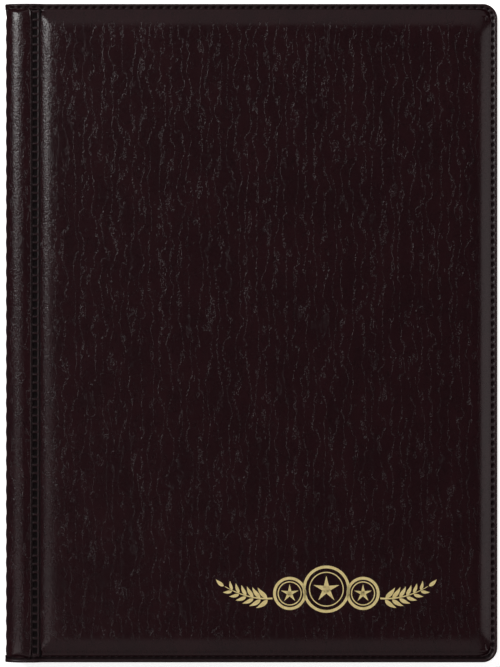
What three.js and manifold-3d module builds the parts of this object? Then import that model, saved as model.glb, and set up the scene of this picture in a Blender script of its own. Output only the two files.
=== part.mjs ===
// A small coin album, lying closed on its back cover. Millimetres, +Z up.
// The spine is at -X, the fore edge at +X and the head at +Y. The origin is under the middle of the album.
// Everything is built about the album's middle plane, half the thickness above the origin, and the
// back cover is the front cover turned over.
import * as THREE from 'three';
import { mergeVertices } from 'three/addons/utils/BufferGeometryUtils.js';
import Module from 'manifold-3d';

const wasm = await Module();
wasm.setup();

// The closed album.
const WIDTH = 140;
const HEIGHT = 187;
const THICKNESS = 14;
const HALF_WIDTH = WIDTH / 2;
const HALF_HEIGHT = HEIGHT / 2;
const HALF_THICKNESS = THICKNESS / 2;

// Layers of a cover, from the inside out.
const COVER = 2.8;
const LINING = 0.3;
const BOARD = 1.4;
const FOAM = 0.45;
const VINYL = 0.4;
const LAYER_GAP = 0.08;
const COVER_INSIDE = HALF_THICKNESS - COVER;

// The padded panel slopes down to a thin flange, welded all round.
const FORE_CORNER_R = 4.2;
const SPINE_CORNER_R = 1.2;
const FLANGE_WIDTH = 1.6;
const FLANGE = 1;
const PAD_SLOPE = 3.6;
const PAD_SHOULDER = 1.4;
const PAD_SHOULDER_DROP = 0.45;

// The strip between spine and panel, with the grooved weld that the cover folds beside.
const PANEL_EDGE = -60.2;
const WELD_EDGE = -62.8;
const STRIP_EDGE = -66;
const STRIP = 1.2;
const WELD_GROOVE = 0.5;
const STRIP_OVERLAP = 1.1;

// The spine, its rounded folds and its scalloped weld bead.
const SPINE_FACE = -69.6;
const FOLD_HEIGHT = 4;
const SPINE_CARD = 0.4;
const BEAD_PITCH = 4.15;
const BEAD_COUNT = 44;
const BEAD_WIDTH = 1.6;
const BEAD_STEPS = 4;

// Leaves, of two films each, hinged in steps so that they clear each other when they turn.
const LEAVES = 8;
const LEAF_PITCH = 1;
const LEAF_HALF_HEIGHT = 89.5;
const LEAF_FORE_EDGE = 66;
const LEAF_CORNER_R = 3;
const FILM = 0.25;
const FILM_GAP = 0.15;
const OUTER_LEAF_HINGE = -67.6;
const HINGE_STEP = 0.8;

// The comb of ribs that the leaves are welded to.
const RIB = 0.4;
const RIB_TO_HINGE = 0.5;
const COMB_BASE = 0.3;
const COMB_HALF_DEPTH = 4;

// Coin pockets.
const COLUMNS = 3;
const ROWS = 4;
const GRID_SPINE_EDGE = -61.5;
const GRID_FORE_EDGE = 65;
const GRID_HALF_HEIGHT = 88.6;
const GRID_WELD = 1.2;
const WELD_DEPTH = 0.12;
const SLOT_LENGTH = 34;
const SLOT_HEIGHT = 1;
const SLOT_BELOW_WELD = 5;
const THUMB_R = 6;
const THUMB_STEPS = 2;

const CORNER_STEPS = 4;
const CURVE_STEPS = 4;

const album = new THREE.Group();
album.position.z = HALF_THICKNESS;

function plastic(color, roughness, opacity = 1) {
  return new THREE.MeshStandardMaterial({
    color,
    roughness,
    metalness: 0,
    opacity,
    transparent: opacity < 1,
  });
}

const MATERIALS = {
  vinyl: () => plastic(0x1f1214, 0.5),
  lining: () => plastic(0x1a1213, 0.6),
  board: () => plastic(0x8f8270, 0.9),
  foam: () => plastic(0xd8d2c4, 0.95),
  binding: () => plastic(0xdfe3e4, 0.3, 0.7),
  film: () => plastic(0xe6ebec, 0.2, 0.35),
};

function addMesh(parent, name, geometry, material) {
  const mesh = new THREE.Mesh(geometry, MATERIALS[material]());
  mesh.name = name;
  parent.add(mesh);
}

// A rectangle with rounded corners as a ring of points, anticlockwise from above.
function roundedRing({ spineX, foreX, halfY, foreR, spineR }, z) {
  const corners = [
    [foreX - foreR, halfY - foreR, foreR],
    [spineX + spineR, halfY - spineR, spineR],
    [spineX + spineR, spineR - halfY, spineR],
    [foreX - foreR, foreR - halfY, foreR],
  ];
  return corners.flatMap(([x, y, r], quarter) =>
    Array.from({ length: CORNER_STEPS + 1 }, (_, step) => {
      const angle = ((quarter + step / CORNER_STEPS) * Math.PI) / 2;
      return new THREE.Vector3(x + r * Math.cos(angle), y + r * Math.sin(angle), z);
    }),
  );
}

// A closed body through rings of equal length, capped at the first (facing up) and the last (facing down).
function loft(rings) {
  const count = rings[0].length;
  const index = [];
  for (let i = 1; i < count - 1; i += 1) {
    index.push(0, i, i + 1);
    const last = (rings.length - 1) * count;
    index.push(last, last + i + 1, last + i);
  }
  for (let ring = 0; ring < rings.length - 1; ring += 1) {
    for (let i = 0; i < count; i += 1) {
      const a = ring * count + i;
      const b = ring * count + ((i + 1) % count);
      index.push(a, a + count, b + count, a, b + count, b);
    }
  }
  const geometry = new THREE.BufferGeometry().setFromPoints(rings.flat());
  geometry.setIndex(index);
  geometry.computeVertexNormals();
  return geometry;
}

function plate(outline, bottom, top) {
  return loft([roundedRing(outline, top), roundedRing(outline, bottom)]);
}

// A section drawn in X and Z, run the given length along Y about the middle.
function alongY(section, length) {
  const geometry = new THREE.ExtrudeGeometry(section, {
    depth: length,
    bevelEnabled: false,
    curveSegments: CURVE_STEPS,
  });
  geometry.rotateX(Math.PI / 2);
  geometry.translate(0, length / 2, 0);
  return geometry;
}

function rectangle(lowX, lowY, highX, highY) {
  const shape = new THREE.Shape();
  shape.moveTo(lowX, lowY);
  shape.lineTo(highX, lowY);
  shape.lineTo(highX, highY);
  shape.lineTo(lowX, highY);
  shape.closePath();
  return shape;
}

function toSolid(geometry) {
  const bare = geometry.clone();
  bare.deleteAttribute('normal');
  bare.deleteAttribute('uv');
  const merged = mergeVertices(bare, 1e-5);
  return new wasm.Manifold(
    new wasm.Mesh({
      numProp: 3,
      vertProperties: new Float32Array(merged.attributes.position.array),
      triVerts: new Uint32Array(merged.index.array),
    }),
  );
}

// Joins the first list of geometries and cuts the second from them.
function combine(joined, cut = []) {
  let solid = joined.map(toSolid).reduce((whole, next) => whole.add(next));
  for (const geometry of cut) {
    solid = solid.subtract(toSolid(geometry));
  }
  const { vertProperties, triVerts } = solid.getMesh();
  const geometry = new THREE.BufferGeometry();
  geometry.setAttribute('position', new THREE.BufferAttribute(vertProperties, 3));
  geometry.setIndex(new THREE.BufferAttribute(triVerts, 1));
  geometry.computeVertexNormals();
  return geometry;
}

// The panel's outline, moved in from its edge by the same amount all round.
function panelOutline(inset) {
  return {
    spineX: PANEL_EDGE + inset,
    foreX: HALF_WIDTH - inset,
    halfY: HALF_HEIGHT - inset,
    foreR: Math.max(FORE_CORNER_R - inset, SPINE_CORNER_R),
    spineR: SPINE_CORNER_R,
  };
}

// As above for rings over the flange, which the spine side doesn't have.
function padOutline(inset) {
  return { ...panelOutline(FLANGE_WIDTH + inset), spineX: PANEL_EDGE + LAYER_GAP + inset };
}

// The vinyl over the panel: flange, slope and crown outside, hollow for board and foam inside.
function paddedPanel() {
  const bottom = COVER_INSIDE + LINING + LAYER_GAP;
  const flangeTop = COVER_INSIDE + FLANGE + LINING;
  const shoulder = HALF_THICKNESS - PAD_SHOULDER_DROP;
  const ceiling = HALF_THICKNESS - VINYL;
  return loft([
    roundedRing(padOutline(PAD_SLOPE), HALF_THICKNESS),
    roundedRing(padOutline(PAD_SHOULDER), shoulder),
    roundedRing(padOutline(0), flangeTop),
    roundedRing(panelOutline(0), flangeTop),
    roundedRing(panelOutline(0), bottom),
    roundedRing(padOutline(VINYL), bottom),
    roundedRing(padOutline(VINYL), flangeTop - VINYL),
    roundedRing(padOutline(PAD_SHOULDER + VINYL), shoulder - VINYL),
    roundedRing(padOutline(PAD_SLOPE + VINYL), ceiling),
  ]);
}

// The flexible strip beside the spine, lower where it is welded along the panel.
function hingeStrip() {
  const bottom = HALF_THICKNESS - STRIP;
  const weldTop = HALF_THICKNESS - WELD_GROOVE;
  const panelSide = PANEL_EDGE + STRIP_OVERLAP;
  const section = new THREE.Shape();
  section.moveTo(STRIP_EDGE, bottom);
  section.lineTo(panelSide, bottom);
  section.lineTo(panelSide, weldTop);
  section.lineTo(WELD_EDGE, weldTop);
  section.lineTo(WELD_EDGE, HALF_THICKNESS);
  section.lineTo(STRIP_EDGE, HALF_THICKNESS);
  section.closePath();
  return alongY(section, HEIGHT);
}

function cover(side) {
  const group = new THREE.Group();
  const boardBottom = COVER_INSIDE + LINING + LAYER_GAP;
  const foamBottom = boardBottom + BOARD + LAYER_GAP;
  const boardOutline = padOutline(PAD_SHOULDER + VINYL + LAYER_GAP);
  const foamOutline = padOutline(PAD_SLOPE + VINYL);
  addMesh(group, `${side}_cover_skin`, combine([paddedPanel(), hingeStrip()]), 'vinyl');
  addMesh(group, `${side}_lining`, plate(panelOutline(0), COVER_INSIDE, COVER_INSIDE + LINING), 'lining');
  addMesh(group, `${side}_board`, plate(boardOutline, boardBottom, boardBottom + BOARD), 'board');
  addMesh(group, `${side}_foam_pad`, plate(foamOutline, foamBottom, foamBottom + FOAM), 'foam');
  return group;
}

// The skin's rounded fold, a quarter of an ellipse from the spine's face to the strip's outer face.
function fold() {
  const centreZ = HALF_THICKNESS - FOLD_HEIGHT;
  const outX = STRIP_EDGE - SPINE_FACE;
  const edgeX = STRIP_EDGE - LAYER_GAP;
  const section = new THREE.Shape();
  section.absellipse(edgeX, centreZ, outX - LAYER_GAP, FOLD_HEIGHT, Math.PI, Math.PI / 2, true);
  section.absellipse(edgeX, centreZ, outX - LAYER_GAP - VINYL, FOLD_HEIGHT - VINYL, Math.PI / 2, Math.PI, false);
  section.closePath();
  return alongY(section, HEIGHT);
}

// Face of the spine with a row of round bumps down its middle, which reach the album's full width.
function spineSkin() {
  const halfFace = HALF_THICKNESS - FOLD_HEIGHT - LAYER_GAP;
  const face = alongY(rectangle(SPINE_FACE, -halfFace, SPINE_FACE + VINYL, halfFace), HEIGHT);
  const bumpHeight = HALF_WIDTH + SPINE_FACE;
  const start = (-BEAD_COUNT * BEAD_PITCH) / 2;
  const outline = new THREE.Shape();
  outline.moveTo(SPINE_FACE + VINYL / 2, start);
  outline.lineTo(SPINE_FACE + VINYL / 2, -start);
  for (let step = BEAD_COUNT * BEAD_STEPS; step >= 0; step -= 1) {
    const along = step / BEAD_STEPS;
    const bump = bumpHeight * Math.abs(Math.sin(Math.PI * along));
    outline.lineTo(SPINE_FACE - bump, start + along * BEAD_PITCH);
  }
  outline.closePath();
  const bead = new THREE.ExtrudeGeometry(outline, { depth: BEAD_WIDTH, bevelEnabled: false });
  bead.translate(0, 0, -BEAD_WIDTH / 2);
  return combine([face, bead]);
}

function spineCard() {
  const inner = SPINE_FACE + VINYL + LAYER_GAP;
  const halfDepth = HALF_THICKNESS - FOLD_HEIGHT - LAYER_GAP;
  return alongY(rectangle(inner, -halfDepth, inner + SPINE_CARD, halfDepth), 2 * LEAF_HALF_HEIGHT);
}

// Leaf 1 is next to the front cover. Hinges step inward towards the middle leaves.
const leafZ = (leaf) => ((LEAVES + 1) / 2 - leaf) * LEAF_PITCH;
const leafHinge = (leaf) => OUTER_LEAF_HINGE + HINGE_STEP * Math.min(leaf - 1, LEAVES - leaf);

function leafBinding() {
  const baseX = SPINE_FACE + VINYL + SPINE_CARD + 2 * LAYER_GAP;
  const ribX = baseX + COMB_BASE;
  const section = new THREE.Shape();
  section.moveTo(baseX, -COMB_HALF_DEPTH);
  section.lineTo(ribX, -COMB_HALF_DEPTH);
  for (let leaf = LEAVES; leaf >= 1; leaf -= 1) {
    const tipX = leafHinge(leaf) - RIB_TO_HINGE;
    const low = leafZ(leaf) - RIB / 2;
    const high = leafZ(leaf) + RIB / 2;
    section.lineTo(ribX, low);
    section.lineTo(tipX, low);
    section.lineTo(tipX, high);
    section.lineTo(ribX, high);
  }
  section.lineTo(ribX, COMB_HALF_DEPTH);
  section.lineTo(baseX, COMB_HALF_DEPTH);
  section.closePath();
  return alongY(section, 2 * LEAF_HALF_HEIGHT);
}

function leafOutline(leaf) {
  return {
    spineX: leafHinge(leaf),
    foreX: LEAF_FORE_EDGE,
    halfY: LEAF_HALF_HEIGHT,
    foreR: LEAF_CORNER_R,
    spineR: SPINE_CORNER_R,
  };
}

// Cutter for a pocket's mouth: a long slit with a round notch for the thumb under its middle.
function pocketSlot(x, y) {
  const half = SLOT_LENGTH / 2;
  const slot = new THREE.Shape();
  slot.moveTo(x - half, y);
  slot.lineTo(x - half, y - SLOT_HEIGHT);
  slot.absarc(x, y - SLOT_HEIGHT, THUMB_R, Math.PI, 2 * Math.PI, false);
  slot.lineTo(x + half, y - SLOT_HEIGHT);
  slot.lineTo(x + half, y);
  const cutter = new THREE.ExtrudeGeometry(slot, {
    depth: LEAF_PITCH,
    bevelEnabled: false,
    curveSegments: THUMB_STEPS,
  });
  return cutter.translate(0, 0, -LEAF_PITCH / 2);
}

// The slotted film, with the ribs under it where it is welded to the back film in a grid.
function pocketFilm(leaf) {
  const columnPitch = (GRID_FORE_EDGE - GRID_SPINE_EDGE) / COLUMNS;
  const rowPitch = (2 * GRID_HALF_HEIGHT) / ROWS;
  const bottom = FILM_GAP / 2;
  const ribDepth = WELD_DEPTH + FILM / 2;
  const ribZ = bottom - WELD_DEPTH + ribDepth / 2;
  const film = [plate(leafOutline(leaf), bottom, bottom + FILM)];
  for (let column = 0; column <= COLUMNS; column += 1) {
    const rib = new THREE.BoxGeometry(GRID_WELD, 2 * GRID_HALF_HEIGHT + GRID_WELD, ribDepth);
    film.push(rib.translate(GRID_SPINE_EDGE + column * columnPitch, 0, ribZ));
  }
  for (let row = 0; row <= ROWS; row += 1) {
    const rib = new THREE.BoxGeometry(GRID_FORE_EDGE - GRID_SPINE_EDGE, GRID_WELD, ribDepth);
    const centreX = (GRID_FORE_EDGE + GRID_SPINE_EDGE) / 2;
    film.push(rib.translate(centreX, -GRID_HALF_HEIGHT + row * rowPitch, ribZ));
  }
  const slots = [];
  for (let column = 0; column < COLUMNS; column += 1) {
    for (let row = 1; row <= ROWS; row += 1) {
      const x = GRID_SPINE_EDGE + (column + 0.5) * columnPitch;
      slots.push(pocketSlot(x, -GRID_HALF_HEIGHT + row * rowPitch - SLOT_BELOW_WELD));
    }
  }
  return combine(film, slots);
}

function addLeaf(leaf) {
  const group = new THREE.Group();
  group.position.z = leafZ(leaf);
  const backTop = -FILM_GAP / 2;
  addMesh(group, `leaf_${leaf}_back_film`, plate(leafOutline(leaf), backTop - FILM, backTop), 'film');
  addMesh(group, `leaf_${leaf}_pocket_film`, pocketFilm(leaf), 'film');
  album.add(group);
}

album.add(cover('front'));
const backCover = cover('back');
backCover.rotation.x = Math.PI;
album.add(backCover);

addMesh(album, 'front_fold', fold(), 'vinyl');
const backFold = new THREE.Group();
backFold.rotation.x = Math.PI;
addMesh(backFold, 'back_fold', fold(), 'vinyl');
album.add(backFold);
addMesh(album, 'spine_skin', spineSkin(), 'vinyl');
addMesh(album, 'spine_card', spineCard(), 'board');
addMesh(album, 'leaf_binding', leafBinding(), 'binding');

for (let leaf = 1; leaf <= LEAVES; leaf += 1) {
  addLeaf(leaf);
}

export default album;
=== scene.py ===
"""A small coin album, closed on its back cover.

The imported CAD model, with its vinyl, welds, films and foil made in full. Lengths are metres, in the frame's
own axes: the spine at -X, the head at +Y, Z up. Each cover piece is worked out for the front cover about the
album's middle plane, and the back cover's is the same piece turned over.
"""
import math

import bpy
import numpy as np
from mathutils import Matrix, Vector


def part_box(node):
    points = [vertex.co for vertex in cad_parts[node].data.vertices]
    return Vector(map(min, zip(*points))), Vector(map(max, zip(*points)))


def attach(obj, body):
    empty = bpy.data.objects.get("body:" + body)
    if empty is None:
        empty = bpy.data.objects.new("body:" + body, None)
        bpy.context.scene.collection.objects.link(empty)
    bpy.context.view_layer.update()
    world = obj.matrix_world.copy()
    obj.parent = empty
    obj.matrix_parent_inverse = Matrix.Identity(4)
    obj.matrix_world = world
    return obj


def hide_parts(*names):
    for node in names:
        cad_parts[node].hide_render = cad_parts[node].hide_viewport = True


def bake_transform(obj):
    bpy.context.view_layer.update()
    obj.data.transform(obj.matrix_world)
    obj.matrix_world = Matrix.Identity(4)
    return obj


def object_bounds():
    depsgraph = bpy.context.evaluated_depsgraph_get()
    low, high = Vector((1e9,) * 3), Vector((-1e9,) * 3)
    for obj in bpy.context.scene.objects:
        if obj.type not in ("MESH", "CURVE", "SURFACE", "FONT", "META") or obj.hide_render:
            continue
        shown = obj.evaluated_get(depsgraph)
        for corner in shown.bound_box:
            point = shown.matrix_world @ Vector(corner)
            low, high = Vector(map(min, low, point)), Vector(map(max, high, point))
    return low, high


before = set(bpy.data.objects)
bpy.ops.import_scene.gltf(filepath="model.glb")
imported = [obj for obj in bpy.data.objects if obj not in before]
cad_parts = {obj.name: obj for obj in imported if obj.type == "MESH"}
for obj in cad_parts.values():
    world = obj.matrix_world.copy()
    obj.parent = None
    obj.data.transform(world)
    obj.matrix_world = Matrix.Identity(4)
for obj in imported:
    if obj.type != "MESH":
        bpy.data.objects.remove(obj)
cad_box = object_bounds()

MM = 0.001

# Places read from the frame. Local heights are measured from the album's middle plane.
TOP = cad_box[1][2]
MIDDLE = TOP / 2
FORE = cad_box[1][0]
HEAD = cad_box[1][1]
SPINE_TIP = cad_box[0][0]
OUTSIDE = MIDDLE
STRIP_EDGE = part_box("front_cover_skin")[0][0]
PANEL_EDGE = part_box("front_lining")[0][0]
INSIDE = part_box("front_lining")[0][2] - MIDDLE
LINING_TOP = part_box("front_lining")[1][2] - MIDDLE
SPINE_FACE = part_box("front_fold")[0][0]
FOLD_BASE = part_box("front_fold")[0][2] - MIDDLE
FOAM_LOW, FOAM_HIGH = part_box("front_foam_pad")
BOARD_LOW, BOARD_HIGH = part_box("front_board")
BOARD_TOP = BOARD_HIGH[2] - MIDDLE

# The vinyl skin.
VINYL = 0.4 * MM
CORNER_R = 4.2 * MM
FLANGE_TOP = INSIDE + 1.15 * MM
STRIP_CROWN = STRIP_EDGE + 1.35 * MM
FOLD_POWER = 0.35
STRIP_DROP = 0.2 * MM
PINCH_DROP = 0.6 * MM
PINCH_RUN = 0.7 * MM
PINCH_AT_SIDES = 0.9 * MM
PINCH_IN_MIDDLE = 0.85 * MM
STRIP_END_DROP = 0.3 * MM
STRIP_END_RUN = 5.0 * MM
UNDER_WELD = 0.35 * MM
SLOPE_START = 1.35 * MM
HEAD_SLOPE = 6.4 * MM
FORE_SLOPE = 4.9 * MM
SPINE_SLOPE = 5.6 * MM
SPINE_SLOPE_POWER = 3.4
CORNER_BLEND = 2
LIP = 0.14 * MM
SUNK = 0.08 * MM
WELD_LEFT = PANEL_EDGE - 2.1 * MM
WELD_FLOOR = OUTSIDE - 1.2 * MM
CLEARANCE = 0.03 * MM

# Within this distance of the edges, the panel's slope turns from the fore edge's to the head's.
EDGE_ZONE = 12.0 * MM

# The stretch over which columns of points are drawn in, so that they end on the rounded fore corners.
DRAWN_IN_START = FORE - 30.0 * MM
DRAWN_IN_RUN = 28.0 * MM

# The ladder weld between strip and panel.
RUNG_PITCH = 2.34 * MM
RAIL_LEFT = PANEL_EDGE - 2.0 * MM
RAIL_RIGHT = PANEL_EDGE - 0.1 * MM
RAMP_START = RAIL_RIGHT + 0.3 * MM
RAIL_HEIGHT = 0.17 * MM
RAIL_WIDTH = 0.2 * MM
RUNG_HEIGHT = 0.18 * MM

# The bead, groove and knurl of the weld round the edge, at the head. The weld is wider at the fore edge and
# the tail, and its knurl is fainter at the tail.
EDGE_WELD = 1.5 * MM
BEAD_CENTRE = 0.4 * MM
BEAD_HEIGHT = 0.38 * MM
BEAD_WIDTH = 0.38 * MM
GROOVE_CENTRE = 1.0 * MM
GROOVE_WIDTH = 0.34 * MM
GROOVE_DEPTH = 0.24 * MM
KNURL_PITCH = 2.12 * MM
KNURL_LAND = 0.05 * MM
WIDE_WELD = 1.3
TAIL_FAINT = 0.7

# A weld's face counts as in a groove, and takes the shaded groove material, where the mean of its painted
# cavity shade is over this.
GROOVE_LIMIT = 0.45

# Layer numbers for skin_place, far enough apart that the grain differs.
SKIN_LAYERS = {"front": 0.0, "back": 40.0}
LINING_LAYER = 9.0
SPINE_LAYER = 17.0

# The scalloped bead down the spine.
SCALLOP_PITCH = 4.15 * MM
SCALLOP_HALF_WIDTH = 1.1 * MM

# The leaves, and the grid of welds round their coin pockets.
LEAVES = 8
COLUMNS = 3
ROWS = 4
GRID_SPINE_EDGE = -61.5 * MM
GRID_FORE_EDGE = 65.0 * MM
GRID_HALF_HEIGHT = 88.6 * MM
POCKET_WELD = 1.5 * MM
SEAM_PROUD = 0.07 * MM
SEAM_SUNK = 0.03 * MM
SEAM_STEP = 3.0 * MM

# The welded rib along a leaf's bend.
RIB_LEFT = -0.62 * MM
RIB_RIGHT = 0.55 * MM
RIB_EDGE = 0.2 * MM
RIB_CROWN = 0.16 * MM
RIB_PITCH = 2.4 * MM

# The foil ornament on the front cover: its middle, the coins, and the sprigs beside them.
ORNAMENT_X = FORE - 48.6 * MM
ORNAMENT_Y = -HEAD + 20.9 * MM
BIG_COIN = 6.3 * MM
SMALL_COIN = 4.3 * MM
COIN_SPACING = 10.4 * MM
SIDE_COIN_DROP = 1.2 * MM
SPRIG_START = 15.3 * MM
SPRIG_DROP = 2.6 * MM
SPRIG_LENGTH = 13.5 * MM
SPRIG_RISE = 4.5 * MM
LEAF_PAIRS = 6
FOIL_LIFT = 0.05 * MM
FOIL_SUNK = 0.02 * MM

# The studio: a round floor whose edge sweeps up into a wall, and fills that are a little warm.
FLOOR_GAP = 0.02 * MM
FLOOR_RADIUS = 3.4
SWEEP = 0.8
WALL_HEIGHT = 2.6
WARM = (1.0, 0.92, 0.92)

# The camera's lens and sensor, in its own millimetres, how much taller than the album the picture is, and
# how far the camera stands off the album's middle.
LENS = 180.0
SENSOR = 36.0
PICTURE_MARGIN = 1.011372
CAMERA_X = -0.25 * MM
CAMERA_Y = -0.1 * MM


def ease(t, power=2.3):
    """Rises quickly from 0 and flattens out at 1."""
    t = np.clip(t, 0, 1)
    return 1 - (1 - t) ** power


def smooth(t):
    """Rises from 0 to 1, level at both ends."""
    t = np.clip(t, 0, 1)
    return t * t * (3 - 2 * t)


def bump_at(x, centre, width):
    """A bell shape, 1 at its centre."""
    return np.exp(-(((x - centre) / width) ** 2))


def edge_distance(x, y):
    """How far a point is inside the outline. Lines of equal distance have the same rounded fore corners."""
    from_fore = FORE - x
    from_end = HEAD - np.abs(y)
    apart = np.minimum(np.abs(from_fore - from_end), CORNER_R)
    rounding = CORNER_R - (apart + np.sqrt(2 * CORNER_R**2 - apart**2)) / 2
    return np.minimum(from_fore, from_end) - rounding


def spread(*stops):
    """Places along a line: (start, end, step) runs joined end to end."""
    runs = [np.linspace(a, b, max(int(round(abs(b - a) / step)), 1), endpoint=False) for a, b, step in stops]
    return np.concatenate([*runs, [stops[-1][1]]])


def mirrored(half):
    """Places on both sides of 0, from the places on its positive side, which start at 0."""
    return np.concatenate([-half[:0:-1], half])


def drawn_in(x, y):
    """A grid of x, row by row at the places y, whose last columns follow the rounded fore corners."""
    corner = np.maximum(np.abs(y) - (HEAD - CORNER_R), 0)
    pulled = CORNER_R - np.sqrt(np.maximum(CORNER_R**2 - corner**2, 0))
    return x[None, :] - pulled[:, None] * smooth((x - DRAWN_IN_START) / DRAWN_IN_RUN)[None, :]


def section_heights(x):
    """Height of the skin over the strip, the weld and the panel, away from head and tail."""
    strip = OUTSIDE - STRIP_DROP * smooth((x - STRIP_CROWN) / (WELD_LEFT - STRIP_CROWN))
    panel = WELD_FLOOR + (OUTSIDE - WELD_FLOOR) * ease((x - RAMP_START) / SPINE_SLOPE, SPINE_SLOPE_POWER)
    return np.where(x < WELD_LEFT, strip, np.where(x < RAIL_RIGHT, WELD_FLOOR, panel))


def fold_height(t):
    """Height of the rounded fold: t is 0 on the strip's crown and 1 on the spine's face."""
    return FOLD_BASE + (OUTSIDE - FOLD_BASE) * np.clip(1 - t**2, 0, 1) ** FOLD_POWER


def skin_section():
    """The skin's outer line from the middle of the spine to the fore edge: x, z and outward normal."""
    face_z = spread((0, FOLD_BASE, 0.6 * MM))[:-1]
    t = np.cos(np.linspace(0, math.pi / 2, 24))
    fold_x = STRIP_CROWN - (STRIP_CROWN - SPINE_FACE) * t
    fold_z = fold_height(t)
    flat_x = spread(
        (STRIP_CROWN, WELD_LEFT - 0.1 * MM, 0.2 * MM),
        (WELD_LEFT - 0.1 * MM, WELD_LEFT, 0.1 * MM),
        (WELD_LEFT, RAIL_RIGHT, 0.5 * MM),
        (RAIL_RIGHT, RAIL_RIGHT + SPINE_SLOPE, 0.35 * MM),
        (RAIL_RIGHT + SPINE_SLOPE, FORE - 8 * MM, 1.6 * MM),
        (FORE - 8 * MM, FORE - 2.4 * MM, 0.45 * MM),
        (FORE - 2.4 * MM, FORE, 0.2 * MM),
    )[1:]
    x = np.concatenate([np.full(len(face_z), SPINE_FACE), fold_x, flat_x])
    z = np.concatenate([face_z, fold_z, section_heights(flat_x)])
    tangent_x, tangent_z = np.gradient(x), np.gradient(z)
    length = np.hypot(tangent_x, tangent_z)
    return x, z, -tangent_z / length, tangent_x / length


def skin_rows():
    """The skin's rows from tail to head, closer together near both."""
    return mirrored(spread(
        (0, HEAD - 10 * MM, 1.7 * MM),
        (HEAD - 10 * MM, HEAD - 2.4 * MM, 0.6 * MM),
        (HEAD - 2.4 * MM, HEAD, 0.2 * MM),
    ))


def panel_height(x, y):
    """Height of the panel's padded crown over the middle plane, sloping to the flange at the edges."""
    near_fore = np.clip((x - (FORE - EDGE_ZONE)) / EDGE_ZONE, 0, 1)
    near_end = np.clip((np.abs(y) - (HEAD - EDGE_ZONE)) / EDGE_ZONE, 0, 1)
    share = near_end / np.maximum(near_fore + near_end, 1e-6)
    weld = WIDE_WELD + (1 - WIDE_WELD) * share * (y > 0)
    distance = edge_distance(x, y) - SLOPE_START * weld
    reach = FORE_SLOPE + (HEAD_SLOPE - FORE_SLOPE) * share
    rise = ease(distance / reach, 2 + 0.2 * share)
    lip = LIP * bump_at(distance, 0.25 * MM, 0.25 * MM) - UNDER_WELD * smooth(-distance / (0.3 * MM))
    edge_drop = (OUTSIDE - FLANGE_TOP) * (1 - rise)
    drops = edge_drop**CORNER_BLEND + (OUTSIDE - section_heights(x)) ** CORNER_BLEND
    return OUTSIDE - drops ** (1 / CORNER_BLEND) + lip


def waviness(x, y):
    """Slow unevenness of vinyl over foam, in waves of 5 to 15 cm, as a depth under its crown."""
    wave = np.sin(x * 71 + 1.3) * np.sin(y * 53 + 0.4)
    wave = wave + 0.6 * np.sin(x * 133 - y * 41) * np.sin(y * 97 + 2)
    inside = smooth((edge_distance(x, y) - 4 * MM) / (12 * MM))
    inside = inside * smooth((x - PANEL_EDGE - 4 * MM) / (10 * MM))
    return SUNK * (0.5 + 0.3 * wave) * inside


def lens_depth(x):
    """How far in from head or tail the strip stays pinched flat: deepest in the middle of its width."""
    middle = (SPINE_TIP + WELD_LEFT) / 2
    half = (WELD_LEFT - SPINE_TIP) / 2
    return PINCH_AT_SIDES + PINCH_IN_MIDDLE * np.clip(1 - ((x - middle) / half) ** 2, 0, 1)


def end_drop(x, y):
    """How far strip and fold sink at head and tail: a gentle slope, a pinched end, then the weld's bed."""
    inside = HEAD - np.abs(y)
    pinched = inside - lens_depth(x)
    slope = STRIP_END_DROP * (1 - ease(pinched / STRIP_END_RUN, 2))
    pinch = PINCH_DROP * (1 - ease(pinched / PINCH_RUN, 2))
    return slope + pinch + UNDER_WELD * smooth((SLOPE_START - inside) / (0.3 * MM))


def support(x, y):
    """The lowest that the skin's underside goes: the board's face, and the lining's beyond the board."""
    margin = 0.6 * MM
    over_x = (x > BOARD_LOW[0] - margin) & (x < BOARD_HIGH[0] + margin)
    over_board = over_x & (np.abs(y) < BOARD_HIGH[1] + margin)
    return np.where(over_board, BOARD_TOP, LINING_TOP) + CLEARANCE


def skin_points(depth):
    """The skin as a grid of rows by columns, the given depth under its outer surface."""
    section_x, section_z, normal_x, normal_z = skin_section()
    rows = skin_rows()
    x = drawn_in(section_x, rows)
    y = np.repeat(rows[:, None], len(section_x), axis=1)
    sunk = end_drop(section_x[None, :], y) + depth
    strip_x = x - normal_x[None, :] * sunk
    strip_z = section_z[None, :] - normal_z[None, :] * sunk
    panel_z = panel_height(x, y) - waviness(x, y) - depth
    if depth:
        panel_z = np.maximum(panel_z, support(x, y))
    on_panel = section_x[None, :] >= RAIL_RIGHT
    return np.stack([np.where(on_panel, x, strip_x), y, np.where(on_panel, panel_z, strip_z)], axis=-1)


def skin_place(x, y, layer=0.0):
    """Where the grain is read, in millimetres. Pieces with different layer numbers have different grain."""
    return np.stack([x / MM, y / MM, np.full(np.shape(y), layer)], axis=-1)


def make_mesh(name, vertices, faces, material, attributes=None, shade_smooth=True):
    """A mesh object. The attributes are one number or one vector for each vertex."""
    mesh = bpy.data.meshes.new(name)
    mesh.from_pydata([tuple(v) for v in vertices], [], [tuple(int(i) for i in f) for f in faces])
    for key, values in (attributes or {}).items():
        values = np.asarray(values, np.float32)
        kind = "FLOAT" if values.ndim == 1 else "FLOAT_VECTOR"
        layer = mesh.attributes.new(key, kind, "POINT")
        layer.data.foreach_set("value" if kind == "FLOAT" else "vector", values.ravel())
    mesh.polygons.foreach_set("use_smooth", [shade_smooth] * len(mesh.polygons))
    mesh.materials.append(material)
    mesh.validate()
    piece = bpy.data.objects.new(name, mesh)
    bpy.context.scene.collection.objects.link(piece)
    return piece


def place(points, side):
    """From middle-plane heights to the frame, the back cover's piece turned over about X."""
    placed = np.array(points, float).reshape(-1, 3)
    if side == "back":
        placed = placed * (1, -1, -1)
    placed[:, 2] += MIDDLE
    return placed


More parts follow.
